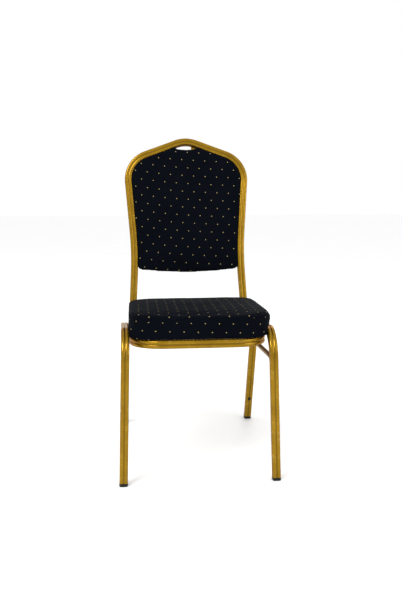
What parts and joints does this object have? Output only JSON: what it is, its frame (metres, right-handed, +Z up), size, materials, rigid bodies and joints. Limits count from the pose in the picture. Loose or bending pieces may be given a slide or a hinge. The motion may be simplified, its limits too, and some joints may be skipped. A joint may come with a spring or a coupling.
{
  "type": "stacking banquet chair",
  "caption": "Stacking banquet chair with a bent fluted tube frame, crown-shaped padded back with a hand hole, and a thick box cushion seat.",
  "frame": {"origin": "on the floor, under the middle of the chair's box", "axes": "+Z up, the sitter faces -Y, +X to the right as seen from the front"},
  "size_m": [0.4418, 0.5386, 0.9379],
  "materials": {
    "gold_paint": "glossy metallic gold paint",
    "dotted_fabric": "woven navy upholstery with small beige dots",
    "plywood": "raw plywood",
    "black_plastic": "moulded black plastic",
    "lining": "black non-woven lining",
    "zinc": "zinc-plated screws"
  },
  "bodies": {
    "root": {"back_board": "plywood", "back_frame_tube": "gold_paint", "back_pad_front": "dotted_fabric", "back_pad_rear": "dotted_fabric", "back_screw_lower_left": "zinc", "back_screw_lower_right": "zinc", "back_screw_upper_left": "zinc", "back_screw_upper_right": "zinc", "back_tab_lower_left": "gold_paint", "back_tab_lower_right": "gold_paint", "back_tab_upper_left": "gold_paint", "back_tab_upper_right": "gold_paint", "glide_front_left": "black_plastic", "glide_front_right": "black_plastic", "glide_rear_left": "black_plastic", "glide_rear_right": "black_plastic", "rear_cross_tube": "gold_paint", "seat_board": "plywood", "seat_cushion": "dotted_fabric", "seat_dust_cover": "lining", "seat_frame_tube": "gold_paint", "seat_screw_front_left": "zinc", "seat_screw_front_right": "zinc", "seat_screw_rear_left": "zinc", "seat_screw_rear_right": "zinc", "seat_tab_front_left": "gold_paint", "seat_tab_front_right": "gold_paint", "seat_tab_rear_left": "gold_paint", "seat_tab_rear_right": "gold_paint", "side_brace_left": "gold_paint", "side_brace_right": "gold_paint", "side_frame_left": "gold_paint", "side_frame_right": "gold_paint", "stack_bumper_left": "black_plastic", "stack_bumper_right": "black_plastic"}
  },
  "joints": []
}
